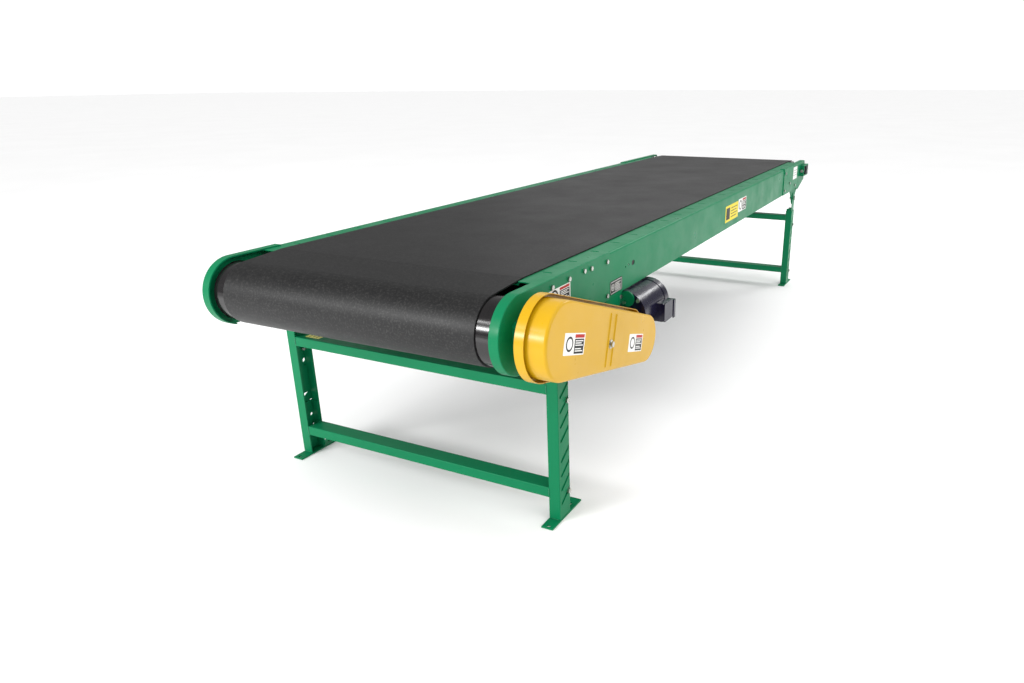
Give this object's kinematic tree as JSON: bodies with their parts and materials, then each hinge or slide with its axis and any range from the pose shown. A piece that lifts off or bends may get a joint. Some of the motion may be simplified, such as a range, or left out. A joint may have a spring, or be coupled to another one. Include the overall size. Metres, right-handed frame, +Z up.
{
  "type": "belt conveyor section",
  "caption": "Slider-bed belt conveyor on two floor supports, with an end-drive head pulley, guarded roller-chain drive, gearmotor under the bed and a screw take-up at the tail.",
  "frame": {"origin": "on the floor, on the belt's centreline, midway between the two supports, at the centre of the floor anchors", "axes": "+X towards the head (drive) end, +Y to the drive side, +Z up"},
  "size_m": [3.7495, 1.2646, 0.7873],
  "materials": {
    "green_frame": "smooth green enamel, semi-gloss",
    "yellow_guard": "safety-yellow enamel, semi-gloss",
    "motor_paint": "dark navy enamel, satin",
    "belt_rubber": "fine woven-impression rubber cover, matt",
    "lagging_rubber": "smooth black rubber, slightly glossy",
    "steel": "machined steel",
    "zinc": "zinc-plated fasteners",
    "cast": "painted grey-black casting",
    "bronze": "bronze gear",
    "plate": "black anodised plate",
    "fan_plastic": "moulded fan"
  },
  "bodies": {
    "frame": {"slider_bed": "green_frame", "bed_crossmembers": "green_frame", "belt": "belt_rubber", "conduit_box": "motor_paint", "conduit_box_lid": "motor_paint", "frame_bolts": "zinc", "gearbox_hanger": "green_frame", "gearbox_housing": "green_frame", "gearbox_shaft_covers": "green_frame", "guard_back_pan": "yellow_guard", "guard_posts": "zinc", "head_bearings": "green_frame", "head_plate_drive": "green_frame", "head_plate_idle": "green_frame", "knee_plates": "green_frame", "motor_adapter": "motor_paint", "motor_barrel": "motor_paint", "motor_base": "motor_paint", "motor_end_bells": "motor_paint", "motor_fan_cowl": "motor_paint", "motor_stator": "steel", "nameplate": "plate", "return_roller_brackets": "green_frame", "roller_axles": "steel", "roller_chain": "steel", "tail_plate_drive": "green_frame", "tail_plate_idle": "green_frame", "take_up_frames": "green_frame"},
    "head_pulley": {"head_shaft_and_key": "steel", "head_pulley_shell": "steel", "head_pulley_lagging": "lagging_rubber", "driven_sprocket": "steel"},
    "snub_roller": {"snub_roller": "steel"},
    "return_roller_front": {"return_roller_front": "steel"},
    "return_roller_rear": {"return_roller_rear": "steel"},
    "take_up": {"take_up_blocks": "cast"},
    "tail_pulley": {"tail_pulley": "steel", "tail_shaft": "steel"},
    "take_up_screw_drive": {"take_up_screw_drive": "steel"},
    "take_up_screw_idle": {"take_up_screw_idle": "steel"},
    "gearbox_output": {"output_shaft_and_key": "steel", "driver_sprocket": "steel", "worm_wheel": "bronze"},
    "motor_spindle": {"motor_rotor": "steel", "motor_fan": "fan_plastic", "worm": "steel"},
    "guard_cover": {"guard_cover": "yellow_guard", "guard_cover_bolt": "zinc"},
    "front_upper_legs": {"front_upper_legs": "green_frame"},
    "rear_upper_legs": {"rear_upper_legs": "green_frame"},
    "front_support": {"front_legs": "green_frame", "front_braces": "green_frame", "front_clamp_bolts": "zinc"},
    "rear_support": {"rear_legs": "green_frame", "rear_braces": "green_frame", "rear_clamp_bolts": "zinc"},
    "front_foot_drive": {"front_foot_drive": "green_frame"},
    "front_foot_idle": {"front_foot_idle": "green_frame"},
    "rear_foot_drive": {"rear_foot_drive": "green_frame"},
    "rear_foot_idle": {"rear_foot_idle": "green_frame"}
  },
  "joints": [
    {"name": "head_spin", "type": "hinge", "parent": "frame", "child": "head_pulley", "pos_m": [1.7875, 0, 0.6704], "axis": [0, 1, 0], "continuous": true},
    {"name": "snub_spin", "type": "hinge", "parent": "frame", "child": "snub_roller", "pos_m": [1.6225, 0, 0.6386], "axis": [0, 1, 0], "continuous": true},
    {"name": "return_front_spin", "type": "hinge", "parent": "frame", "child": "return_roller_front", "pos_m": [0.5875, 0, 0.6446], "axis": [0, 1, 0], "continuous": true},
    {"name": "return_rear_spin", "type": "hinge", "parent": "frame", "child": "return_roller_rear", "pos_m": [-0.5625, 0, 0.6446], "axis": [0, 1, 0], "continuous": true},
    {"name": "take_up_slide", "type": "slide", "parent": "frame", "child": "take_up", "axis": [1, 0, 0], "range_m": [0, 0.038]},
    {"name": "tail_spin", "type": "hinge", "parent": "take_up", "child": "tail_pulley", "pos_m": [-1.79, 0, 0.724], "axis": [0, 1, 0], "continuous": true},
    {"name": "take_up_screw_drive_turn", "type": "hinge", "parent": "take_up", "child": "take_up_screw_drive", "pos_m": [-1.72, 0.5506, 0.724], "axis": [1, 0, 0], "range_deg": [0, 2737]},
    {"name": "take_up_screw_idle_turn", "type": "hinge", "parent": "take_up", "child": "take_up_screw_idle", "pos_m": [-1.72, -0.5506, 0.724], "axis": [1, 0, 0], "range_deg": [0, 2737]},
    {"name": "output_spin", "type": "hinge", "parent": "frame", "child": "gearbox_output", "pos_m": [1.2405, 0.628, 0.508], "axis": [0, 1, 0], "continuous": true},
    {"name": "motor_spin", "type": "hinge", "parent": "frame", "child": "motor_spindle", "pos_m": [1, 0.536, 0.5418], "axis": [1, 0, 0], "continuous": true},
    {"name": "guard_cover_off", "type": "slide", "parent": "frame", "child": "guard_cover", "axis": [0, 1, 0], "range_m": [0, 0.12]},
    {"name": "front_support_pivot", "type": "hinge", "parent": "frame", "child": "front_upper_legs", "pos_m": [1.5725, 0, 0.566], "axis": [0, 1, 0], "range_deg": [-15, 15]},
    {"name": "front_support_height", "type": "slide", "parent": "front_upper_legs", "child": "front_support", "axis": [0, 0, -1], "range_m": [-0.03, 0.06]},
    {"name": "front_foot_drive_level", "type": "slide", "parent": "front_support", "child": "front_foot_drive", "axis": [0, 0, -1], "range_m": [0, 0.05]},
    {"name": "front_foot_idle_level", "type": "slide", "parent": "front_support", "child": "front_foot_idle", "axis": [0, 0, -1], "range_m": [0, 0.05]},
    {"name": "rear_support_pivot", "type": "hinge", "parent": "frame", "child": "rear_upper_legs", "pos_m": [-1.5725, 0, 0.566], "axis": [0, 1, 0], "range_deg": [-15, 15]},
    {"name": "rear_support_height", "type": "slide", "parent": "rear_upper_legs", "child": "rear_support", "axis": [0, 0, -1], "range_m": [-0.03, 0.06]},
    {"name": "rear_foot_drive_level", "type": "slide", "parent": "rear_support", "child": "rear_foot_drive", "axis": [0, 0, -1], "range_m": [0, 0.05]},
    {"name": "rear_foot_idle_level", "type": "slide", "parent": "rear_support", "child": "rear_foot_idle", "axis": [0, 0, -1], "range_m": [0, 0.05]}
  ],
  "couplings": [
    {"joint": "snub_spin", "follows": "head_spin", "ratio": -3.1667},
    {"joint": "return_front_spin", "follows": "head_spin", "ratio": -3.9583},
    {"joint": "return_rear_spin", "follows": "head_spin", "ratio": -3.9583},
    {"joint": "tail_spin", "follows": "head_spin", "ratio": 1.8701},
    {"joint": "output_spin", "follows": "head_spin", "ratio": 2},
    {"joint": "motor_spin", "follows": "head_spin", "ratio": 40},
    {"joint": "take_up_screw_drive_turn", "follows": "take_up_slide", "rad_per_m": 1256.6},
    {"joint": "take_up_screw_idle_turn", "follows": "take_up_slide", "rad_per_m": 1256.6}
  ]
}
